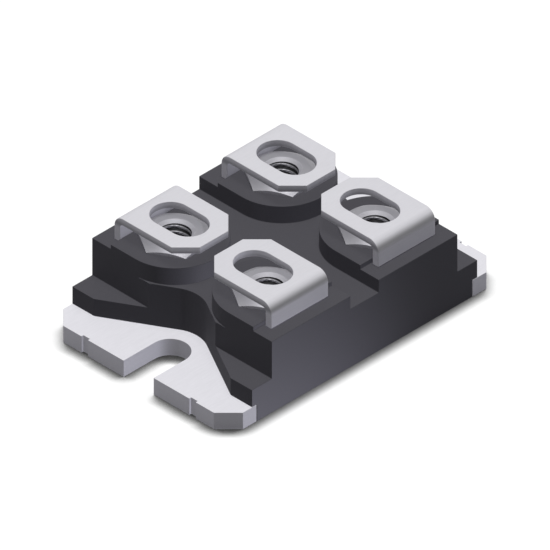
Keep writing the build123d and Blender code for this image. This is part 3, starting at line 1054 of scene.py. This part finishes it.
# %% Floor material
SHADOW_REACH = 1.7
SHADOW_LEAN = (0.66, 0.60, 0.45)
SHADOW_SAMPLES = 16
SHADOW_FULL_AT = 0.35
SHADOW_DARKEST = 0.05
FLOOR_SCATTER = 0.02


def seen(tree):
    """1 for rays from the camera and for reflected and refracted ones, 0 for scattered light."""
    path = tree.nodes.new("ShaderNodeLightPath")
    either = maths(tree, "MAXIMUM", path.outputs["Is Camera Ray"], path.outputs["Is Glossy Ray"])
    return maths(tree, "MAXIMUM", either, path.outputs["Is Transmission Ray"])


def contact_shadow(tree):
    """White, and darker within a short distance of what stands on the floor, most on its -X and -Y sides.

    The openness, from 0 to 1, becomes a tone that is darkest up to a limit and climbs smoothly to white.
    """
    lean = tree.nodes.new("ShaderNodeCombineXYZ")
    for socket, value in zip(lean.inputs, SHADOW_LEAN):
        socket.default_value = value
    near = tree.nodes.new("ShaderNodeAmbientOcclusion")
    near.inputs["Distance"].default_value = SHADOW_REACH * MM
    near.samples = SHADOW_SAMPLES
    tree.links.new(lean.outputs[0], near.inputs["Normal"])
    return ramp(tree, near.outputs["AO"], SHADOW_FULL_AT, 1.0, SHADOW_DARKEST, 1.0)


def floor_material():
    """White when seen, dark to scattered light, and clear from below."""
    material = bpy.data.materials.new("studio_floor")
    material.use_nodes = True
    tree = material.node_tree
    tree.nodes.clear()
    white = tree.nodes.new("ShaderNodeBsdfDiffuse")
    tree.links.new(contact_shadow(tree), white.inputs["Color"])
    dark = tree.nodes.new("ShaderNodeBsdfDiffuse")
    dark.inputs["Color"].default_value = (FLOOR_SCATTER, FLOOR_SCATTER, FLOOR_SCATTER, 1)
    clear = tree.nodes.new("ShaderNodeBsdfTransparent")
    by_ray = tree.nodes.new("ShaderNodeMixShader")
    by_side = tree.nodes.new("ShaderNodeMixShader")
    out = tree.nodes.new("ShaderNodeOutputMaterial")
    tree.links.new(seen(tree), by_ray.inputs[0])
    tree.links.new(dark.outputs[0], by_ray.inputs[1])
    tree.links.new(white.outputs[0], by_ray.inputs[2])
    tree.links.new(tree.nodes.new("ShaderNodeNewGeometry").outputs["Backfacing"], by_side.inputs[0])
    tree.links.new(by_ray.outputs[0], by_side.inputs[1])
    tree.links.new(clear.outputs[0], by_side.inputs[2])
    tree.links.new(by_side.outputs[0], out.inputs["Surface"])
    return material


# %% Floor
FLOOR_SIZE = 2000.0
FLOOR_DROP = 0.02

half = FLOOR_SIZE / 2
corners = np.array([(-half, -half), (half, -half), (half, half), (-half, half)])
floor_mesh = bpy.data.meshes.new("floor")
floor_mesh.from_pydata([(x * MM, y * MM, -FLOOR_DROP * MM) for x, y in corners], [], [(0, 1, 2, 3)])
floor_mesh.materials.append(floor_material())
floor = bpy.data.objects.new("floor", floor_mesh)
scene.collection.objects.link(floor)
print("floor:", FLOOR_SIZE, "mm wide, with its shadow", SHADOW_REACH, "mm long")

# %% [markdown]
# ## The world
#
# The background is the world itself. It is white with a strength of 1 where it is seen or mirrored, and only
# a weak even light otherwise, so the lamps alone shape the module. A backdrop would also give white, but it
# would need as much light as the object.

# %% World
AMBIENT = 0.07


def studio_world():
    """A white world whose strength is the ambient share, plus the rest of 1 where it is seen."""
    world = bpy.data.worlds.new("studio")
    world.use_nodes = True
    tree = world.node_tree
    background = tree.nodes["Background"]
    background.inputs["Color"].default_value = (1, 1, 1, 1)
    strength = maths(tree, "ADD", AMBIENT, maths(tree, "MULTIPLY", seen(tree), 1 - AMBIENT))
    tree.links.new(strength, background.inputs["Strength"])
    return world


scene.world = studio_world()
print("world:", scene.world.name, "with an ambient share of", AMBIENT)

# %% [markdown]
# ## The lamps
#
# In the picture the light comes from above and casts almost no shadow on the module, while its black sides
# are lit faintly from below the horizon, with a bluish tinge. So the overhead light is split in two: a weak
# lamp with a soft shadow and a strong one without. Two weak fills shine up from the left and the right.
#
# The module's long side grows lighter towards its nearest corner. Two low spots give it that: each is aimed
# near that corner, and its soft beam fades along the side. Light linking lets one light only the housing and
# the other only the metal, because the two need different amounts.

# %% Far lamps
OVERHEAD = 89.0
FROM_BELOW = -60.0
SUN_DISTANCE = 300.0
PALE_BLUE = (0.94, 0.93, 1.0)
LIGHT_BLUE = (0.89, 0.89, 1.0)


def sun(name, azimuth, elevation, strength, spread, shadow=True, colour=(1.0, 1.0, 1.0)):
    """A far lamp that shines evenly from one direction; its spread in degrees softens the shadows."""
    data = bpy.data.lights.new(name, "SUN")
    data.energy = strength
    data.color = colour
    data.angle = math.radians(spread)
    data.use_shadow = shadow
    lamp = bpy.data.objects.new(name, data)
    scene.collection.objects.link(lamp)
    aimed(lamp, (0, 0, 0), direction(math.radians(azimuth), math.radians(elevation)), SUN_DISTANCE)
    return lamp


suns = [
    sun("key", 0.0, OVERHEAD, strength=0.45, spread=20.0),
    sun("open_key", 0.0, OVERHEAD, strength=2.68, spread=15.0, shadow=False),
    sun("left_fill", -115.0, FROM_BELOW, strength=0.95, spread=30.0, shadow=False, colour=PALE_BLUE),
    sun("right_fill", 45.0, FROM_BELOW, strength=1.20, spread=30.0, shadow=False, colour=LIGHT_BLUE),
]
print("far lamps:", [lamp.name for lamp in suns])

# %% Low spots
SPOT_AZIMUTH = 45.0
SPOT_DISTANCE = 60.0
SPOT_RADIUS = 3.0
SPOT_COLOUR = (0.90, 0.90, 1.0)
HOUSING_TARGET = (-24.0, -12.6, -18.0)
METAL_TARGET = (-18.0, -12.6, 0.0)


def low_spot(name, target, elevation, power, cone, pieces):
    """A soft spot from below the floor's level and from the camera's right, which lights only some pieces.

    It looks up at a target in millimetres, at an elevation below 0, and its cone is given in degrees.
    """
    data = bpy.data.lights.new(name, "SPOT")
    data.energy = power
    data.color = SPOT_COLOUR
    data.shadow_soft_size = SPOT_RADIUS * MM
    data.spot_size = math.radians(cone)
    data.spot_blend = 1.0
    data.use_shadow = False
    lamp = bpy.data.objects.new(name, data)
    scene.collection.objects.link(lamp)
    back = direction(math.radians(SPOT_AZIMUTH), math.radians(elevation))
    aimed(lamp, target, back, SPOT_DISTANCE)
    lit = bpy.data.collections.new(name + "_lights")
    for piece in pieces:
        lit.objects.link(piece)
    lamp.light_linking.receiver_collection = lit
    return lamp


metal = [plate, *terminals, *nuts]
spots = [
    low_spot("housing_shine", HOUSING_TARGET, elevation=-35.0, power=0.40, cone=74.0, pieces=[housing]),
    low_spot("metal_shine", METAL_TARGET, elevation=-62.0, power=0.10, cone=45.0, pieces=metal),
]
print("low spots:", [lamp.name for lamp in spots])
